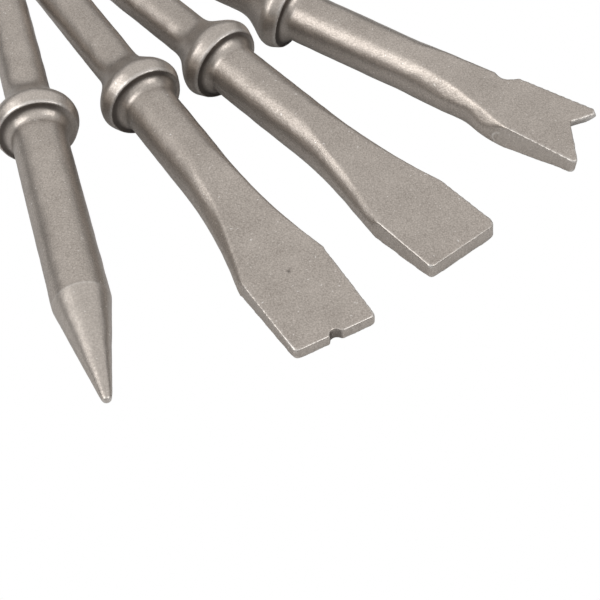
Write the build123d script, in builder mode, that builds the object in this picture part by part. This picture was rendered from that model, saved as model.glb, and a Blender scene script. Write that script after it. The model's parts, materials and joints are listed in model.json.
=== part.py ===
"""Four forged chisel bits for an air hammer, lying fanned out on the bench.

Millimetres, +Z up. Every bit is one forging with the same shank, collar and round body.
Along a bit: x runs from the collar's front face towards the working end, y across, z up.
"""
import os
from math import atan, cos, radians, sin, tan

from build123d import *

# Shank, collar and body, the same on all four bits
shank_d = 10.2
shank_length = 36.5
shank_chamfer = 0.8
collar_d = 19.57
collar_rim = 3.62
collar_taper = 2.55
collar_face_d = 17.5
neck_length = 6.87
neck_radius = 8.7
rim_back_chamfer = 0.85
cove_height = 1.45
cove_length = 1.6
body_d = 12.16

# Pointed punch
punch_reach = 77.2
punch_cone_start = 51.3
punch_nose_d = 1.9
punch_nose_radius = 0.75

# Notched chisel
notched_reach = 77.8
notched_flare_start = 27.5
notched_shoulder = 58.7
notched_shoulder_width = 20.0
notched_edge_half = 9.6
notched_corner = 0.9
notched_flat_start = 20.6
notched_shoulder_thickness = 3.8
notched_edge_thickness = 2.5
notch_radius = 1.3
notch_depth = 1.25
notch_mouth_radius = 0.6

# Flat chisel
flat_reach = 75.0
flat_flare_start = 29.1
flat_shoulder = 59.6
flat_shoulder_width = 19.6
flat_near_edge_half = 9.6
flat_far_edge_half = 10.3
flat_near_corner = 0.8
flat_far_corner = 1.6
flat_flat_start = 24.6
flat_shoulder_thickness = 4.8
flat_edge_thickness = 3.3

# Forked chisel: half widths towards the near side and the far side at stations along it
fork_near_reach = 78.4
fork_far_reach = 74.7
fork_vee_reach = 70.8
fork_vee_offset = 2.75
fork_vee_radius = 0.4
fork_vee_undercut = 34.0
fork_near_half = 8.95
fork_far_half = 7.95
fork_far_tip_half = 10.0
fork_swell_start = 31.0
fork_swell_end = 50.0
fork_swell_d = 14.1
fork_waist = 53.0
fork_waist_near_half = 8.35
fork_waist_far_half = 6.7
fork_far_shoulder = 55.8
fork_forged_far_half = 9.8
fork_flank_half = 9.2
fork_near_shoulder = 60.0
fork_forged_half = 10.6
fork_flat_start = 31.6
fork_shoulder_rise = 3.31
fork_tip_rise = 2.45
fork_bevel_start = 30.45
fork_tip_drop = 0.7
fork_near_corner = 1.0
fork_far_corner = 0.9

# Shared forging and grinding details
flat_lead = 0.4
flat_slope = 0.17
flare_power = 1.85
flare_steps = 3
forged_excess = 1.0
edge_rake = 12.0
ground_run_out = 4.0

# Where each bit lies: its collar's front face in plan, and the way it points
set_shift_x = 3.79
set_shift_y = -41.67
punch_x = -57.05
punch_y = 42.17
punch_heading = -74.47
notched_x = -34.2
notched_y = 53.18
notched_heading = -57.6
flat_x = -16.8
flat_y = 67.08
flat_heading = -46.97
fork_x = -1.23
fork_y = 87.42
fork_heading = -31.1

# Cutter blocks only have to be larger than a bit
cutter_reach = 90.0
cutter_half = 16.0

body_r = body_d / 2
shank_r = shank_d / 2
collar_r = collar_d / 2
collar_face_r = collar_face_d / 2
edge_lead = tan(radians(edge_rake))


def lying_plane(x, y, heading, reach, drop):
    """Plane of a bit that rests on its collar's rim and on a point further along."""
    tilt = atan((collar_r - drop) / (reach + collar_taper))
    turn = radians(heading)
    height = collar_r * cos(tilt) - collar_taper * sin(tilt)
    return Plane(
        origin=(x + set_shift_x, y + set_shift_y, height),
        x_dir=(cos(tilt) * cos(turn), cos(tilt) * sin(turn), -sin(tilt)),
        z_dir=(sin(tilt) * cos(turn), sin(tilt) * sin(turn), cos(tilt)),
    )


def long_axis(lay):
    """The bit's own axis of revolution."""
    return Axis(lay.origin, lay.x_dir)


def side_plane(lay):
    """Plane along the bit and upright, for the outline seen from the side."""
    return Plane(origin=lay.origin, x_dir=lay.x_dir, z_dir=-lay.y_dir)


def station(lay, along, offset=0.0):
    """Cross-section plane at a distance along the bit, its centre set to one side."""
    return Plane(
        origin=lay.from_local_coords((along, offset, 0)), x_dir=lay.y_dir, z_dir=lay.x_dir
    )


def raked(lay):
    """Direction of the ground end face, its lower edge set forward of the upper one."""
    turn = radians(edge_rake)
    return lay.z_dir * cos(turn) - lay.x_dir * sin(turn)


def blank_profile(lay, body_end):
    """Half outline of shank, flared neck, collar that tapers forward, and round body."""
    rear = -collar_rim - neck_length
    with BuildSketch(lay) as profile:
        with BuildLine():
            Polyline(
                (rear - shank_length, 0),
                (rear - shank_length, shank_r - shank_chamfer),
                (rear - shank_length + shank_chamfer, shank_r),
                (rear, shank_r),
                (-collar_rim, collar_r),
                (-collar_taper, collar_r),
                (0, collar_face_r),
                (0, body_r + cove_height),
                (cove_length, body_r),
                (body_end, body_r),
                (body_end, 0),
                close=True,
            )
        make_face()
        fillet(profile.vertices().sort_by_distance((rear, shank_r))[0], neck_radius)
        chamfer(profile.vertices().sort_by_distance((-collar_rim, collar_r))[0], rim_back_chamfer)
    return profile.sketch


def forged_cutters(lay, start, shoulder, shoulder_half, reach, edge_half):
    """Waste above and below a blade whose flats curve down from the round body to a thin edge."""
    slope = (shoulder_half - edge_half) / (reach - shoulder)
    with BuildSketch(side_plane(lay)) as waste:
        with BuildLine():
            draw_down = Spline(
                (start, body_r + flat_lead),
                (shoulder, shoulder_half),
                tangents=((1, -flat_slope), (1, -slope)),
            )
            Polyline(
                draw_down @ 1,
                (cutter_reach, shoulder_half - slope * (cutter_reach - shoulder)),
                (cutter_reach, cutter_half),
                (start, cutter_half),
                draw_down @ 0,
            )
        make_face()
        mirror(about=Plane.XZ)
    return waste.sketch


def ground_plan(lay, shoulder, shoulder_half, reach, near_half, far_half, near_corner, far_corner):
    """Plan that the blade's sides and end are ground to, wide open behind the blade."""
    start = shoulder - ground_run_out
    run = ground_run_out / (reach - shoulder)
    near_start = shoulder_half + (shoulder_half - near_half) * run
    far_start = shoulder_half + (shoulder_half - far_half) * run
    with BuildSketch(lay) as plan:
        with BuildLine():
            Polyline(
                (-cutter_reach, -cutter_half),
                (start, -cutter_half),
                (start, -near_start),
                (reach, -near_half),
                (reach, far_half),
                (start, far_start),
                (start, cutter_half),
                (-cutter_reach, cutter_half),
                close=True,
            )
        make_face()
        for corner, radius in (
            ((start, -near_start), ground_run_out),
            ((start, far_start), ground_run_out),
            ((reach, -near_half), near_corner),
            ((reach, far_half), far_corner),
        ):
            fillet(plan.vertices().sort_by_distance(corner)[0], radius)
    return plan.sketch


def flare_half(along, start, shoulder, shoulder_half):
    """Half width of the forged flare, a curve that opens from the body towards the shoulder."""
    share = max(0, (along - start) / (shoulder - start))
    return body_r + (shoulder_half - body_r) * share**flare_power


def flare_stations(start, reach):
    """Distances of the flare's cross-sections, the last one past the raked end of the blade."""
    length = reach + body_r * edge_lead - start
    return [start + length * step / flare_steps for step in range(flare_steps + 1)]


# Pointed punch: the round body is ground to a long cone with a blunt rounded nose
punch_nose_r = punch_nose_d / 2
punch_lay = lying_plane(punch_x, punch_y, punch_heading, punch_cone_start, body_r)
with BuildPart() as pointed_punch:
    revolve(blank_profile(punch_lay, punch_cone_start), axis=long_axis(punch_lay))
    with BuildSketch(punch_lay) as cone_outline:
        with BuildLine():
            Polyline(
                (punch_cone_start, 0),
                (punch_cone_start, body_r),
                (punch_reach, punch_nose_r),
                (punch_reach, 0),
                close=True,
            )
        make_face()
        nose = cone_outline.vertices().sort_by_distance((punch_reach, punch_nose_r))[0]
        fillet(nose, punch_nose_radius)
    revolve(axis=long_axis(punch_lay))
pointed_punch.part.label = "pointed_punch"

# Notched chisel: flared flat blade with a small round notch in the middle of its edge
notched_half = notched_shoulder_width / 2
notched_drop = notched_edge_thickness / 2
notched_lay = lying_plane(
    notched_x, notched_y, notched_heading, notched_reach + edge_lead * notched_drop, notched_drop
)
notched_waste = forged_cutters(
    notched_lay, notched_flat_start, notched_shoulder, notched_shoulder_thickness / 2,
    notched_reach, notched_edge_thickness / 2,
)
notched_outline = ground_plan(
    notched_lay, notched_shoulder, notched_half, notched_reach,
    notched_edge_half, notched_edge_half, notched_corner, notched_corner,
)
with BuildSketch(notched_lay) as notched_plan:
    add(notched_lay.to_local_coords(notched_outline))
    with Locations((notched_reach + notch_radius - notch_depth, 0)):
        Circle(notch_radius, mode=Mode.SUBTRACT)
    for side in (notch_radius, -notch_radius):
        mouth = notched_plan.vertices().sort_by_distance((notched_reach, side))[0]
        fillet(mouth, notch_mouth_radius)
with BuildPart() as notched_chisel:
    revolve(blank_profile(notched_lay, notched_flare_start), axis=long_axis(notched_lay))
    for along in flare_stations(notched_flare_start, notched_reach):
        forged = flare_half(along, notched_flare_start, notched_shoulder, notched_half + forged_excess)
        with BuildSketch(station(notched_lay, along)):
            Ellipse(forged, body_r)
    loft()
    extrude(notched_waste, amount=cutter_half, both=True, mode=Mode.SUBTRACT)
    extrude(
        notched_plan.sketch, amount=cutter_half, dir=raked(notched_lay), both=True, mode=Mode.INTERSECT
    )
notched_chisel.part.label = "notched_chisel"

# Flat chisel: flared flat blade with a plain square edge
flat_half = flat_shoulder_width / 2
flat_drop = flat_edge_thickness / 2
flat_lay = lying_plane(flat_x, flat_y, flat_heading, flat_reach + edge_lead * flat_drop, flat_drop)
flat_waste = forged_cutters(
    flat_lay, flat_flat_start, flat_shoulder, flat_shoulder_thickness / 2,
    flat_reach, flat_edge_thickness / 2,
)
flat_plan = ground_plan(
    flat_lay, flat_shoulder, flat_half, flat_reach,
    flat_near_edge_half, flat_far_edge_half, flat_near_corner, flat_far_corner,
)
with BuildPart() as flat_chisel:
    revolve(blank_profile(flat_lay, flat_flare_start), axis=long_axis(flat_lay))
    for along in flare_stations(flat_flare_start, flat_reach):
        forged = flare_half(along, flat_flare_start, flat_shoulder, flat_half + forged_excess)
        with BuildSketch(station(flat_lay, along)):
            Ellipse(forged, body_r)
    loft()
    extrude(flat_waste, amount=cutter_half, both=True, mode=Mode.SUBTRACT)
    extrude(flat_plan, amount=cutter_half, dir=raked(flat_lay), both=True, mode=Mode.INTERSECT)
flat_chisel.part.label = "flat_chisel"

# Forked chisel: thicker blade that lies flat on its underside, with an off-centre vee in its end
fork_lay = lying_plane(fork_x, fork_y, fork_heading, fork_near_reach, fork_tip_drop)
fork_top_slope = (fork_shoulder_rise - fork_tip_rise) / (fork_near_reach - fork_near_shoulder)
fork_bevel_slope = (body_r - fork_tip_drop) / (fork_near_reach - fork_bevel_start)
fork_far_spread = (fork_far_tip_half - fork_far_half) / (fork_far_reach - fork_far_shoulder)
fork_far_start_half = fork_far_half - fork_far_spread * (fork_far_shoulder - fork_swell_end)
fork_swell_r = fork_swell_d / 2
vee_bottom = Vector(fork_vee_reach, fork_vee_offset)
vee_near = Vector(fork_near_reach, -fork_near_half) - vee_bottom
vee_far = Vector(fork_far_reach, fork_far_tip_half) - vee_bottom
with BuildPart() as forked_chisel:
    revolve(blank_profile(fork_lay, fork_swell_start), axis=long_axis(fork_lay))
    with BuildSketch(fork_lay):
        with BuildLine():
            Polyline(
                (fork_swell_start, 0),
                (fork_swell_start, body_r),
                (fork_swell_end, fork_swell_r),
                (fork_swell_end, 0),
                close=True,
            )
        make_face()
    revolve(axis=long_axis(fork_lay))
    for along, near, far in (
        (fork_swell_end, fork_swell_r, fork_swell_r),
        (fork_waist, fork_waist_near_half, fork_waist_far_half),
        (fork_far_shoulder, fork_flank_half, fork_forged_far_half),
        (fork_near_shoulder, fork_forged_half, fork_forged_half),
    ):
        with BuildSketch(station(fork_lay, along, (far - near) / 2)):
            Ellipse((far + near) / 2, fork_swell_r)
    loft()
    with BuildSketch(station(fork_lay, fork_near_shoulder)):
        Ellipse(fork_forged_half, fork_swell_r)
    extrude(amount=fork_near_reach - fork_near_shoulder)
    with BuildSketch(side_plane(fork_lay)):
        with BuildLine():
            draw_down = Spline(
                (fork_flat_start, body_r + flat_lead),
                (fork_near_shoulder, fork_shoulder_rise),
                tangents=((1, -flat_slope), (1, -fork_top_slope)),
            )
            Polyline(
                draw_down @ 1,
                (cutter_reach, fork_shoulder_rise - fork_top_slope * (cutter_reach - fork_near_shoulder)),
                (cutter_reach, cutter_half),
                (fork_flat_start, cutter_half),
                draw_down @ 0,
            )
        make_face()
        with BuildLine():
            Polyline(
                (fork_bevel_start, -body_r),
                (cutter_reach, -body_r + fork_bevel_slope * (cutter_reach - fork_bevel_start)),
                (cutter_reach, -cutter_half),
                (fork_bevel_start, -cutter_half),
                close=True,
            )
        make_face()
    extrude(amount=cutter_half, both=True, mode=Mode.SUBTRACT)
    with BuildSketch(fork_lay) as fork_plan:
        with BuildLine():
            Polyline(
                (-cutter_reach, -cutter_half),
                (fork_swell_end, -cutter_half),
                (fork_swell_end, -fork_near_half),
                (fork_near_reach, -fork_near_half),
                (fork_vee_reach, fork_vee_offset),
                (fork_far_reach, fork_far_tip_half),
                (fork_swell_end, fork_far_start_half),
                (fork_swell_end, cutter_half),
                (-cutter_reach, cutter_half),
                close=True,
            )
        make_face()
        for corner, radius in (
            ((fork_near_reach, -fork_near_half), fork_near_corner),
            ((fork_vee_reach, fork_vee_offset), fork_vee_radius),
            ((fork_far_reach, fork_far_tip_half), fork_far_corner),
        ):
            fillet(fork_plan.vertices().sort_by_distance(corner)[0], radius)
    extrude(amount=cutter_half, both=True, mode=Mode.INTERSECT)
    # The far side of the vee is ground back under its top edge, sliding along the near side
    undercut = radians(fork_vee_undercut)
    slide = vee_near.normalized() * sin(undercut)
    with BuildSketch(fork_lay.offset(fork_tip_rise)):
        with BuildLine():
            Polyline(vee_bottom, vee_bottom + vee_near * 2, vee_bottom + vee_far * 2, close=True)
        make_face()
    extrude(
        amount=cutter_half,
        dir=fork_lay.x_dir * -slide.X + fork_lay.y_dir * -slide.Y + fork_lay.z_dir * -cos(undercut),
        mode=Mode.SUBTRACT,
    )
forked_chisel.part.label = "forked_chisel"

os.makedirs("parts", exist_ok=True)
export_step(pointed_punch.part, "parts/pointed_punch.step")
export_step(notched_chisel.part, "parts/notched_chisel.step")
export_step(flat_chisel.part, "parts/flat_chisel.step")
export_step(forked_chisel.part, "parts/forked_chisel.step")
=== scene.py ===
import bpy, bmesh, json, math
import numpy as np
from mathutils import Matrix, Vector, noise


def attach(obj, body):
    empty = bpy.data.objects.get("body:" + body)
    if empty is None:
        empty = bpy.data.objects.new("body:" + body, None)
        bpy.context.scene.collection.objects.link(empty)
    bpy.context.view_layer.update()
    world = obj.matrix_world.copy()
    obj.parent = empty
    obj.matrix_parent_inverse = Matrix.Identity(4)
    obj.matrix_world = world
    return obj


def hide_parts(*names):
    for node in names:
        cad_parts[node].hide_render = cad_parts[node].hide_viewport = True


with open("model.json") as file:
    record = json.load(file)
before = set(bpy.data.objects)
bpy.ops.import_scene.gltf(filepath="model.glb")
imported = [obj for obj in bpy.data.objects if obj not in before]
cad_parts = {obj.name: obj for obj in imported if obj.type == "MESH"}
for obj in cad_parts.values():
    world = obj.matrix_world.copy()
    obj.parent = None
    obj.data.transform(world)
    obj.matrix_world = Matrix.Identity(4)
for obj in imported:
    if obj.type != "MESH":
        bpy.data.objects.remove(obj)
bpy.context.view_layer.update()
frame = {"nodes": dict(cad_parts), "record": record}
nodes = frame["nodes"]
mounts = {m["name"]: m for m in frame["record"]["mounts"]}
mmPerMetre = 1000
print("frame loaded:", ", ".join(sorted(nodes)))

# camera, set from the bits' edges in the photograph
shot = {
    "stand": (0.00379, -0.2955, 0.24752),
    "downTilt": 44.28,
    "lens": 104.22,
    "sensor": 36.0,
    "clipStart": 0.01,
}
camData = bpy.data.cameras.new("shotCamera")
camData.lens = shot["lens"]
camData.sensor_width = shot["sensor"]
camData.clip_start = shot["clipStart"]
cam = bpy.data.objects.new("shotCamera", camData)
cam.location = shot["stand"]
cam.rotation_euler = (math.radians(90 - shot["downTilt"]), 0, 0)
bpy.context.scene.collection.objects.link(cam)
bpy.context.scene.camera = cam
bpy.context.scene.view_settings.view_transform = "Standard"
print("camera set")


def newMaterial(name):
    mat = bpy.data.materials.new(name)
    mat.use_nodes = True
    tree = mat.node_tree
    tree.nodes.clear()
    return mat, tree


def addNode(tree, kind, **values):
    node = tree.nodes.new(kind)
    for key, value in values.items():
        setattr(node, key, value)
    return node


def noiseNode(tree, coords, scale, detail, roughness):
    tex = addNode(tree, "ShaderNodeTexNoise")
    tex.inputs["Scale"].default_value = scale
    tex.inputs["Detail"].default_value = detail
    tex.inputs["Roughness"].default_value = roughness
    tree.links.new(coords, tex.inputs["Vector"])
    return tex.outputs["Fac"]


def rangeNode(tree, source, fromMin, fromMax, toMin, toMax):
    node = addNode(tree, "ShaderNodeMapRange")
    node.inputs["From Min"].default_value = fromMin
    node.inputs["From Max"].default_value = fromMax
    node.inputs["To Min"].default_value = toMin
    node.inputs["To Max"].default_value = toMax
    tree.links.new(source, node.inputs["Value"])
    return node.outputs["Result"]


def mathNode(tree, operation, first, second):
    node = addNode(tree, "ShaderNodeMath", operation=operation)
    for slot, value in enumerate((first, second)):
        if isinstance(value, (int, float)):
            node.inputs[slot].default_value = value
        else:
            tree.links.new(value, node.inputs[slot])
    return node.outputs[0]


def mixNode(tree, factor, first, second):
    node = addNode(tree, "ShaderNodeMix", data_type="RGBA")
    tree.links.new(factor, node.inputs["Factor"])
    for key, value in (("A", first), ("B", second)):
        if isinstance(value, tuple):
            node.inputs[key].default_value = value
        else:
            tree.links.new(value, node.inputs[key])
    return node.outputs["Result"]


def attributeNode(tree, name):
    return addNode(tree, "ShaderNodeAttribute", attribute_name=name).outputs["Fac"]


def cameraSwitch(tree, toOthers, toCamera, output):
    # one surface for the camera's own rays, another for all the rest
    path = addNode(tree, "ShaderNodeLightPath")
    either = addNode(tree, "ShaderNodeMixShader")
    tree.links.new(path.outputs["Is Camera Ray"], either.inputs["Fac"])
    tree.links.new(toOthers, either.inputs[1])
    tree.links.new(toCamera, either.inputs[2])
    tree.links.new(either.outputs["Shader"], output.inputs["Surface"])


# shot-blasted forging steel: fine grain, soft mottling, flecks, worn arrises
# a tone, share or roughness of four numbers maps the first two to the last two
steelLook = {
    "dull": (0.315, 0.276, 0.243, 1),
    "pale": (0.6, 0.54, 0.486, 1),
    "fleck": (0.85, 0.82, 0.79, 1),
    # the worn tone serves both rubbed wear and painted highlights
    "worn": (0.74, 0.70, 0.66, 1),
    "ground": (0.72, 0.665, 0.61, 1),
    # the dark tone below serves both scale and painted shade
    "scaleAndShadeDark": (0.10, 0.085, 0.075, 1),
    "metallic": 0.9,
    "mottle": {"scale": 130, "detail": 5, "roughness": 0.55},
    "grain": {"scale": 3000, "detail": 2, "roughness": 0.6},
    "sparkle": {"scale": 1500, "detail": 1, "roughness": 0.5},
    "streak": {"scale": 1700, "detail": 2, "roughness": 0.5},
    "streakSqueeze": (1, 1, 0.15),
    "grainTone": (0.32, 0.68, 0.0, 0.75),
    "mottleTone": (0.3, 0.7, 0.0, 0.25),
    "groundShare": 0.35,
    "streakShare": (0.45, 0.65, 0.0, 0.28),
    "fleckShare": (0.72, 0.79, 0.0, 0.7),
    "rubbedShare": (0.3, 0.6, 0.45, 1.0),
    "grainRoughness": (0.3, 0.7, 0.40, 0.31),
    "grainDepth": 0.00003,
}


def forgedSteel(name, look):
    mat, tree = newMaterial(name)
    link = tree.links.new
    out = addNode(tree, "ShaderNodeOutputMaterial")
    skin = addNode(tree, "ShaderNodeBsdfPrincipled")
    skin.inputs["Metallic"].default_value = look["metallic"]
    link(skin.outputs["BSDF"], out.inputs["Surface"])
    coords = addNode(tree, "ShaderNodeTexCoord").outputs["Object"]
    mottle = noiseNode(tree, coords, **look["mottle"])
    grain = noiseNode(tree, coords, **look["grain"])
    sparkle = noiseNode(tree, coords, **look["sparkle"])
    wearAndHighlight, scaleAndShade, ground = (attributeNode(tree, key) for key in ("wearAndHighlight", "scaleAndShade", "ground"))

    tone = mathNode(
        tree,
        "ADD",
        rangeNode(tree, grain, *look["grainTone"]),
        rangeNode(tree, mottle, *look["mottleTone"]),
    )
    colour = mixNode(tree, tone, look["dull"], look["pale"])
    # ground faces are paler, with fine streaks
    groundTone = mathNode(tree, "MULTIPLY", ground, look["groundShare"])
    colour = mixNode(tree, groundTone, colour, look["ground"])
    squeeze = addNode(tree, "ShaderNodeMapping")
    squeeze.inputs["Scale"].default_value = look["streakSqueeze"]
    link(coords, squeeze.inputs["Vector"])
    streak = noiseNode(tree, squeeze.outputs["Vector"], **look["streak"])
    streaked = mathNode(tree, "MULTIPLY", ground, rangeNode(tree, streak, *look["streakShare"]))
    colour = mixNode(tree, streaked, colour, look["dull"])
    colour = mixNode(tree, rangeNode(tree, sparkle, *look["fleckShare"]), colour, look["fleck"])
    # arrises that handling has rubbed bright, with painted highlights on some edges and faces; dark
    # scale in dips, and painted shade in the collar's front corner and in the notch
    rubbed = mathNode(tree, "MULTIPLY", wearAndHighlight, rangeNode(tree, sparkle, *look["rubbedShare"]))
    colour = mixNode(tree, rubbed, colour, look["worn"])
    colour = mixNode(tree, scaleAndShade, colour, look["scaleAndShadeDark"])
    link(colour, skin.inputs["Base Color"])
    link(rangeNode(tree, grain, *look["grainRoughness"]), skin.inputs["Roughness"])
    bump = addNode(tree, "ShaderNodeBump")
    bump.inputs["Distance"].default_value = look["grainDepth"]
    link(grain, bump.inputs["Height"])
    link(bump.outputs["Normal"], skin.inputs["Normal"])
    return mat


steel = forgedSteel("shotBlastedSteel", steelLook)
print("steel made")


def ramp(values, low, high):
    t = np.clip((values - low) / (high - low), 0, 1)
    return t * t * (3 - 2 * t)


def fade(values, low, high):
    return 1 - ramp(values, low, high)


def band(values, start, end):
    return ramp(values, *start) * fade(values, *end)


def neighbourMean(values, edges):
    a, b = edges[:, 0], edges[:, 1]
    n = len(values)
    count = np.bincount(a, minlength=n) + np.bincount(b, minlength=n)
    sums = [np.bincount(a, v[b], n) + np.bincount(b, v[a], n) for v in values.T]
    return np.stack(sums, 1) / np.maximum(count, 1)[:, None]


def relax(values, edges, weights, rounds):
    for _ in range(rounds):
        values = values + weights[:, None] * 0.5 * (neighbourMean(values, edges) - values)
    return values


def widestLine(along, spread, window=7):
    # the largest spread at each half millimetre of length, smoothed and read back at every point
    place = (along - along.min()) * 2
    widest = np.zeros(int(place.max()) + 2)
    np.maximum.at(widest, np.round(place).astype(int), spread)
    padded = np.pad(widest, window // 2, "edge")
    widest = np.convolve(padded, np.ones(window) / window, "valid")
    return np.interp(place, np.arange(len(widest)), widest)


class Bit:
    # a bit's points, and where they lay at first: millimetres along, across and above its axis,
    # counted from the collar's front face, which lies this far ahead of the shank mount
    lead = 0.02968

    def __init__(self, mesh, shank):
        points = np.empty(len(mesh.vertices) * 3, np.float32)
        mesh.vertices.foreach_get("co", points)
        self.points = points.reshape(-1, 3).astype(float)
        edges = np.empty(len(mesh.edges) * 2, np.int32)
        mesh.edges.foreach_get("vertices", edges)
        self.edges = edges.reshape(-1, 2)
        forward = -Vector(shank["axis"])
        up = (Vector((0, 0, 1)) - forward * forward.z).normalized()
        self.start = np.array(Vector(shank["pos_m"]) + forward * self.lead)
        self.forward, self.across, self.up = (np.array(v) for v in (forward, up.cross(forward), up))
        self.along, self.side, self.rise = self.places()
        self.radius = np.hypot(self.side, self.rise)

    def places(self):
        local = self.points - self.start
        return [local @ axis * mmPerMetre for axis in (self.forward, self.across, self.up)]

    def relax(self, weights, rounds):
        self.points = relax(self.points, self.edges, weights, rounds)

    def writeTo(self, mesh):
        mesh.vertices.foreach_set("co", self.points.astype(np.float32).ravel())
        mesh.update()


mergeGap = 1e-6


def blankSkin(name, nodeName, grid):
    # one skin over the merged CAD bit, evened out so that it can be worn and blended
    bm = bmesh.new()
    bm.from_mesh(nodes[nodeName].data)
    bmesh.ops.remove_doubles(bm, verts=bm.verts, dist=mergeGap)
    coarse = bpy.data.meshes.new(name + "Blank")
    bm.to_mesh(coarse)
    bm.free()
    blank = bpy.data.objects.new(name + "Blank", coarse)
    bpy.context.scene.collection.objects.link(blank)
    skin = blank.modifiers.new("skin", "REMESH")
    skin.mode = "VOXEL"
    skin.voxel_size = grid
    graph = bpy.context.evaluated_depsgraph_get()
    mesh = bpy.data.meshes.new_from_object(blank.evaluated_get(graph))
    mesh.name = name
    bpy.data.objects.remove(blank)
    bpy.data.meshes.remove(coarse)
    return mesh


def standProng(bit, prong):
    # the prong's undercut end face stands upright for a little way below its top edge
    runAlong, runSide = (tip - root for tip, root in zip(prong["tip"], prong["root"]))
    length = math.hypot(runAlong, runSide)
    fromRoot = bit.along - prong["root"][0], bit.side - prong["root"][1]
    share = (fromRoot[0] * runAlong + fromRoot[1] * runSide) / length**2
    outward = (fromRoot[0] * runSide - fromRoot[1] * runAlong) / length
    facing = (bit.forward * runSide - bit.across * runAlong) / length
    depth = np.maximum(widestLine(bit.along, bit.rise) - bit.rise, 0)
    onProng = band(share, prong["from"], prong["to"]) * (np.abs(outward) < prong["reach"])
    atRoot, atTip = prong["upright"]
    upright = np.minimum(depth, atRoot + share * (atTip - atRoot))
    onFace = ramp(outward + prong["undercut"] * depth, *prong["face"])
    push = prong["slope"] * upright * onProng * onFace
    bit.points = bit.points + np.outer(push / mmPerMetre, facing)
    return onProng, facing


blending = {
    "crownFrom": (-16, -13),
    "crownTo": (-1.3, -0.9),
    "coveFrom": (-0.2, 0.1),
    "coveTo": (2.2, 3),
    "coveRim": (8.0, 8.5),
    "nearToFar": (-2, 2),
}


def blendForging(bit, shape):
    # arrises a little broken, collar crowned, flats run softly out into the round
    everywhere = np.ones(len(bit.points))
    crown = band(bit.along, blending["crownFrom"], blending["crownTo"])
    cove = band(bit.along, blending["coveFrom"], blending["coveTo"])
    cove = cove * fade(bit.radius, *blending["coveRim"])
    softNear = fade(bit.along, *shape["softEnd"])
    softFar = shape["softFar"] * fade(bit.along, *shape["softFarEnd"])
    soft = softNear + (softFar - softNear) * ramp(bit.side, *blending["nearToFar"])
    bit.relax(everywhere, shape["breakRounds"])
    bit.relax(crown, shape["crownRounds"])
    bit.relax(cove, shape["coveRounds"])
    bit.relax(ramp(bit.along, *shape["softStart"]) * soft, shape["softRounds"])


dressing = {"near": (1, 2.5), "taper": (49, 62), "fill": (2, 5)}


def pare(bit, excess, tilt, weights):
    # points past a face that leans in by the tilt are laid onto it
    depth = np.maximum(excess, 0) * math.cos(tilt) * weights * (bit.rise > 0) / mmPerMetre
    inward = math.cos(tilt) * bit.across - math.sin(tilt) * bit.up
    bit.points = bit.points + np.outer(depth, inward)


def dressFlank(bit, shape):
    # the near flank is dressed to a face that leans in above its widest line
    _, side, rise = bit.places()
    near = -side
    tilt = math.radians(shape["flankTilt"])
    flank = band(bit.along, shape["flankStart"], shape["flankEnd"]) * ramp(near, *dressing["near"])
    limit = widestLine(bit.along, near, shape["flankWindow"]) + shape["flankProud"]
    limit = limit + shape["flankTaper"] * ramp(bit.along, *dressing["taper"])
    pare(bit, near - limit + math.tan(tilt) * np.maximum(rise, 0), tilt, flank)
    # its top edge is broken by a narrow face that leans further in
    if shape["flankEdge"]:
        edgeTilt = math.radians(shape["flankEdge"]["tilt"])
        height = widestLine(bit.along, bit.rise) - shape["flankEdge"]["drop"]
        edgeLimit = limit - math.tan(tilt) * height
        _, side, rise = bit.places()
        pare(bit, -side - edgeLimit + math.tan(edgeTilt) * (rise - height), edgeTilt, flank)
    bit.relax(flank, shape["flankRounds"])
    fill = shape["flankFill"] / mmPerMetre * flank * ramp(near, *dressing["fill"])
    bit.points = bit.points - np.outer(fill, bit.across)


rubbing = {"endRun": 0.5, "cornerFrom": -1.2, "cornerTo": 0.4, "cornerInset": (0.4, 1.8)}


def rubEnd(bit, shape):
    # the working end's edges and corners are rubbed rounder
    fromEnd = bit.along - shape["endFrom"]
    atEnd = ramp(fromEnd, 0, rubbing["endRun"])
    bit.relax(atEnd, shape["endRounds"])
    farInset = widestLine(bit.along, bit.side) - bit.side
    nearInset = widestLine(bit.along, -bit.side) + bit.side
    corners = ramp(fromEnd, rubbing["cornerFrom"], rubbing["cornerTo"])
    corners = corners * fade(np.minimum(farInset, nearInset), *rubbing["cornerInset"])
    bit.relax(corners, shape["cornerRounds"])
    return atEnd


marks = {
    "edgeWear": (0.05, 0.105),
    "edgeRounds": 2,
    "wearBase": 0.6,
    "wearAtEnd": 1.2,
    "endZone": (73, 74.5),
    "dip": (0.015, 0.06),
    "dipDarkening": 0.5,
    "neckZone": (-12, 0),
    "bodyZone": (20, 40),
    "zoneDrop": 0.5,
    # the corner keys set the painted shade ahead of the collar
    "cornerFrom": (-0.35, -0.1),
    "cornerTo": (0.6, 1.4),
    "cornerInner": (6.6, 7.7),
    "cornerOuter": (8.5, 8.75),
    "cornerPaintedShade": 0.92,
    "cornerDrop": 0.65,
    "cornerTurn": (25, 70),
    "groundRun": 0.2,
    "groundLean": (0.35, 0.6),
    "collarFrom": (-7, -4.5),
    "collarTo": (2.0, 2.8),
    "collarGround": 0.6,
    "lipFrom": (-0.9, -0.4),
    "lipTo": (0.0, 0.15),
    "lipRim": (8.5, 8.7),
    "lipWearAndHighlight": 0.7,
    "ringEdge": (0.1, 0.3),
    "ringWearAndHighlight": 0.45,
    "prongPaintedLight": (0.4, 0.7),
    "arcEdge": (0.12, 0.3),
    "arcWear": 0.9,
    "arcSide": -6,
    "notchWall": (1.0, 1.25),
    "notchLean": (0.3, 0.7),
    "notchPaintedShade": 0.6,
    "notchLip": (1.3, 2.0),
    "notchDrop": 0.7,
}


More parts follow.
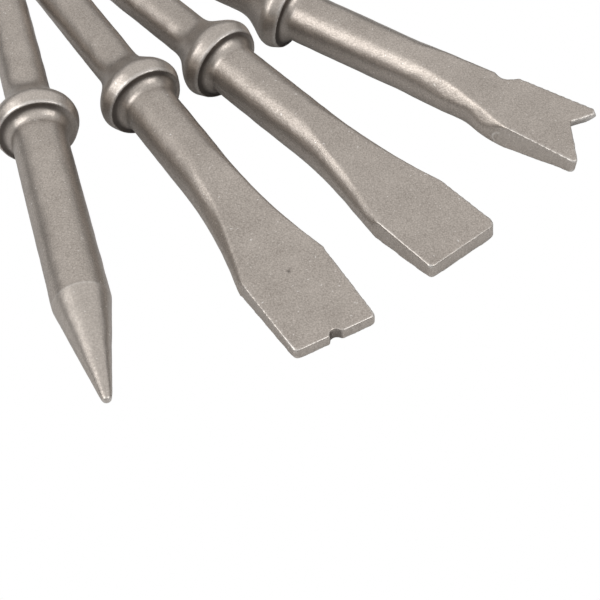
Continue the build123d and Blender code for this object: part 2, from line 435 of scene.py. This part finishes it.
def darkenScaleAndShade(bit, shape, proud):
    # darker in dips and a little over the shank and body; painted shade in the corner ahead of the
    # collar
    along, radius = bit.along, bit.radius
    dips = ramp(-proud, *marks["dip"]) * marks["dipDarkening"]
    drop = marks["zoneDrop"]
    thin = 1 - drop * ramp(along, *marks["neckZone"]) - drop * ramp(along, *marks["bodyZone"])
    scaleAndShade = np.maximum(dips, shape["scale"] * thin)
    corner = band(along, marks["cornerFrom"], marks["cornerTo"])
    corner = corner * ramp(radius, *marks["cornerInner"]) * fade(radius, *marks["cornerOuter"])
    # the painted shade is least on the collar's far side
    turn = np.degrees(np.arctan2(bit.side, bit.rise))
    depth = marks["cornerPaintedShade"] - marks["cornerDrop"] * ramp(turn, *marks["cornerTurn"])
    return np.maximum(scaleAndShade, corner * depth)


def groundFaces(bit, shape, normals, atEnd):
    fromStart = bit.along - shape["groundFrom"]
    ground = ramp(fromStart, -marks["groundRun"], marks["groundRun"])
    if shape["groundSides"]:
        ground = ground * fade(np.abs(normals @ bit.up), *marks["groundLean"])
    collar = marks["collarGround"] * band(bit.along, marks["collarFrom"], marks["collarTo"])
    return np.maximum(ground * np.maximum(shape["groundDepth"], atEnd), collar)


def edgeWearAndHighlights(bit, shape, proud):
    along = bit.along
    gain = marks["wearBase"] + marks["wearAtEnd"] * ramp(along, *marks["endZone"])
    wearAndHighlight = np.minimum(ramp(proud, *marks["edgeWear"]) * gain, 1)
    # the collar's front lip: rubbed wear with a painted highlight
    lip = band(along, marks["lipFrom"], marks["lipTo"]) * ramp(bit.radius, *marks["lipRim"])
    wearAndHighlight = np.maximum(wearAndHighlight, lip * marks["lipWearAndHighlight"])
    if shape["ring"]:
        # the punch's ring where the cone starts: rubbed wear with a painted highlight
        ring = fade(np.abs(along - shape["ring"]), *marks["ringEdge"])
        wearAndHighlight = np.maximum(wearAndHighlight, marks["ringWearAndHighlight"] * ring)
    if shape["arc"]:
        arcAlong, arcRise, size = shape["arc"]
        fromArc = np.abs(np.hypot(along - arcAlong, bit.rise - arcRise) - size)
        arc = fade(fromArc, *marks["arcEdge"]) * (bit.side < marks["arcSide"]) * (along < arcAlong)
        wearAndHighlight = np.maximum(wearAndHighlight, marks["arcWear"] * arc)
    return wearAndHighlight


surface = {
    "waveScale": 260,
    "waveDepth": 0.00007,
    "fineScale": 1100,
    "fineDepth": 0.000016,
    "pitDepth": 0.00035,
    "pitScale": 0.9,
}


def forgedBit(name, nodeName, shape):
    mesh = blankSkin(name, nodeName, shape["grid"])
    bit = Bit(mesh, mounts[shape["mount"]])
    if shape["prong"]:
        onProng, facing = standProng(bit, shape["prong"])
    blendForging(bit, shape)
    if shape["flankTilt"]:
        dressFlank(bit, shape)
    atEnd = rubEnd(bit, shape)
    bit.writeTo(mesh)

    normals = np.empty(len(mesh.vertices) * 3, np.float32)
    mesh.vertex_normals.foreach_get("vector", normals)
    normals = normals.reshape(-1, 3).astype(float)
    # how far each point stands above its neighbours, as a share of the grid
    proud = ((bit.points - neighbourMean(bit.points, bit.edges)) * normals).sum(1) / shape["grid"]
    proud = relax(proud[:, None], bit.edges, np.ones(len(proud)), marks["edgeRounds"])[:, 0]
    wearAndHighlight = edgeWearAndHighlights(bit, shape, proud)
    scaleAndShade = darkenScaleAndShade(bit, shape, proud)
    ground = groundFaces(bit, shape, normals, atEnd)
    if shape["prong"]:
        # painted light: the prong's end face takes the pale worn tone and loses its dark tone, as
        # if lit
        face = onProng * ramp(normals @ facing, *marks["prongPaintedLight"])
        scaleAndShade = scaleAndShade * (1 - face)
        wearAndHighlight = np.maximum(wearAndHighlight, face)

    # forging unevenness, then the pits and the painted shade on the notch's wall
    wave = np.array([noise.noise(Vector(p) * surface["waveScale"]) for p in bit.points])
    fine = np.array([noise.noise(Vector(p) * surface["fineScale"]) for p in bit.points])
    uneven = wave * surface["waveDepth"] + fine * surface["fineDepth"]
    bit.points = bit.points + normals * uneven[:, None]
    for pitAlong, pitSide, size in shape["pits"]:
        reach = np.hypot(bit.along - pitAlong, bit.side - pitSide) / size
        dent = np.exp(-reach * reach) * (bit.rise > 0)
        bit.points = bit.points - normals * (dent * size * surface["pitDepth"])[:, None]
        scaleAndShade = np.maximum(scaleAndShade, dent * surface["pitScale"])
    if shape["notch"]:
        notchAlong, notchSide, size = shape["notch"]
        reach = np.hypot(bit.along - notchAlong, bit.side - notchSide) / size
        # painted shade: the notch's steep walls are darkened
        wall = fade(reach, *marks["notchWall"])
        wall = wall * fade(np.abs(normals @ bit.up), *marks["notchLean"])
        scaleAndShade = np.maximum(scaleAndShade, wall * marks["notchPaintedShade"])
        wearAndHighlight = wearAndHighlight * (1 - marks["notchDrop"] * fade(reach, *marks["notchLip"]))
    bit.writeTo(mesh)

    for label, values in (("wearAndHighlight", wearAndHighlight), ("scaleAndShade", scaleAndShade), ("ground", ground)):
        layer = mesh.attributes.new(label, "FLOAT", "POINT")
        layer.data.foreach_set("value", values.astype(np.float32))
    mesh.polygons.foreach_set("use_smooth", np.ones(len(mesh.polygons), bool))
    mesh.materials.clear()
    mesh.materials.append(steel)
    piece = bpy.data.objects.new(name, mesh)
    bpy.context.scene.collection.objects.link(piece)
    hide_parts(nodeName)
    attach(piece, nodeName)
    print(name, "made,", len(mesh.polygons), "faces")


# what the bits share; places along a bit are in millimetres, the grid in metres
common = {
    "grid": 0.00028,
    "breakRounds": 2,
    "crownRounds": 18,
    "coveRounds": 14,
    "softRounds": 40,
    "softEnd": (38, 54),
    "softFar": 1.0,
    "softFarEnd": (38, 54),
    "scale": 0.12,
    "groundSides": True,
    "groundDepth": 0.4,
    "flankStart": (30, 42),
    "flankEnd": (53, 59),
    "flankTilt": 31,
    "flankProud": 0.1,
    "flankRounds": 10,
    "flankWindow": 7,
    "flankTaper": 0,
    "flankFill": 0,
    "flankEdge": None,
    "endFrom": 90,
    "endRounds": 3,
    "cornerRounds": 0,
    "ring": None,
    "prong": None,
    "arc": None,
    "pits": (),
    "notch": None,
}
punchShape = {
    **common,
    "mount": "pointed_shank",
    "softStart": (90, 91),
    "flankTilt": None,
    "scale": 0,
    "ring": 51.3,
    "endFrom": 75.2,
    "endRounds": 10,
    "groundFrom": 51.3,
    "groundSides": False,
    "groundDepth": 0.8,
}
forgedBit("pointedPunch", "pointed_punch", punchShape)
notchedShape = {
    **common,
    "mount": "notched_shank",
    "softStart": (14, 22),
    "softEnd": (32, 44),
    "flankStart": (28, 42),
    "flankRounds": 14,
    "flankEdge": {"tilt": 48, "drop": 0.6},
    "endFrom": 76.6,
    "cornerRounds": 4,
    "groundFrom": 59.0,
    "pits": ((59.4, 0.2, 0.38),),
    "notch": (77.8, 0.0, 1.3),
}
forgedBit("notchedChisel", "notched_chisel", notchedShape)
flatShape = {
    **common,
    "mount": "flat_shank",
    "softStart": (18, 26),
    "flankStart": (34, 52),
    "flankTilt": 28,
    "flankProud": 0.0,
    "flankRounds": 30,
    "flankWindow": 21,
    "flankTaper": 0.9,
    "flankFill": 0.35,
    "flankEdge": {"tilt": 51, "drop": 1.0},
    "endFrom": 73.9,
    "cornerRounds": 4,
    "groundFrom": 60.0,
}
forgedBit("flatChisel", "flat_chisel", flatShape)
forkShape = {
    **common,
    "mount": "forked_shank",
    "softStart": (24, 34),
    "softEnd": (46, 58),
    "softRounds": 110,
    "softFar": 0.35,
    "flankStart": (32, 52),
    "flankEnd": (57, 61),
    "flankTilt": 30,
    "flankProud": 0.2,
    "flankRounds": 40,
    "flankWindow": 31,
    "flankTaper": 1.5,
    "groundFrom": 59.0,
    "groundDepth": 0.7,
    "arc": (59.0, -0.6, 1.4),
    "prong": {
        "root": (70.8, 2.75),
        "tip": (74.7, 10.0),
        "from": (-0.02, 0.05),
        "to": (1.15, 1.3),
        "reach": 4,
        "undercut": 0.59,
        "face": (-1.2, -0.1),
        "slope": 1.05,
        "upright": (0.35, 0.95),
    },
}
forgedBit("forkedChisel", "forked_chisel", forkShape)

# floor: white to the camera, a plain matt top to the bits above it
floorLook = {"half": 3.0, "drop": 0.0002, "glow": 1.0, "matt": (0.61, 0.61, 0.61, 1)}
bm = bmesh.new()
bmesh.ops.create_grid(bm, x_segments=1, y_segments=1, size=floorLook["half"])
bmesh.ops.translate(bm, verts=bm.verts, vec=(0, 0, -floorLook["drop"]))
floorMesh = bpy.data.meshes.new("benchTop")
bm.to_mesh(floorMesh)
bm.free()
floor = bpy.data.objects.new("benchTop", floorMesh)
bpy.context.scene.collection.objects.link(floor)
mat, tree = newMaterial("paleBench")
out = addNode(tree, "ShaderNodeOutputMaterial")
glow = addNode(tree, "ShaderNodeEmission")
glow.inputs["Color"].default_value = (1, 1, 1, 1)
glow.inputs["Strength"].default_value = floorLook["glow"]
matt = addNode(tree, "ShaderNodeBsdfDiffuse")
matt.inputs["Color"].default_value = floorLook["matt"]
cameraSwitch(tree, matt.outputs["BSDF"], glow.outputs["Emission"], out)
floorMesh.materials.append(mat)

# light: a large soft box at the left front, a smaller one at the right front
lamps = {
    "leftBox": {"at": (-0.76, -0.45, 0.66), "size": (0.8, 0.8), "watts": 3.9},
    "rightBox": {"at": (0.83, -0.38, 0.63), "size": (0.4, 0.4), "watts": 1.6},
}
aim = Vector((0, 0, 0.005))
for name, lamp in lamps.items():
    data = bpy.data.lights.new(name, "AREA")
    data.shape = "RECTANGLE"
    data.size, data.size_y = lamp["size"]
    data.energy = lamp["watts"]
    obj = bpy.data.objects.new(name, data)
    obj.location = lamp["at"]
    obj.rotation_euler = (Vector(lamp["at"]) - aim).to_track_quat("Z", "Y").to_euler()
    bpy.context.scene.collection.objects.link(obj)

# surround: bright above and dark at its horizon, but plain white to a low camera
surround = {"horizon": (0.12, 0.44, 0.02, 1.05)}
world = bpy.data.worlds.new("studio")
bpy.context.scene.world = world
world.use_nodes = True
tree = world.node_tree
tree.nodes.clear()
out = addNode(tree, "ShaderNodeOutputWorld")
back = addNode(tree, "ShaderNodeBackground")
coords = addNode(tree, "ShaderNodeTexCoord")
split = addNode(tree, "ShaderNodeSeparateXYZ")
tree.links.new(coords.outputs["Generated"], split.inputs["Vector"])
strength = rangeNode(tree, split.outputs["Z"], *surround["horizon"])
tree.links.new(strength, back.inputs["Strength"])
backdrop = addNode(tree, "ShaderNodeBackground")
backdrop.inputs["Color"].default_value = (1, 1, 1, 1)
cameraSwitch(tree, back.outputs["Background"], backdrop.outputs["Background"], out)
print("floor and light set")
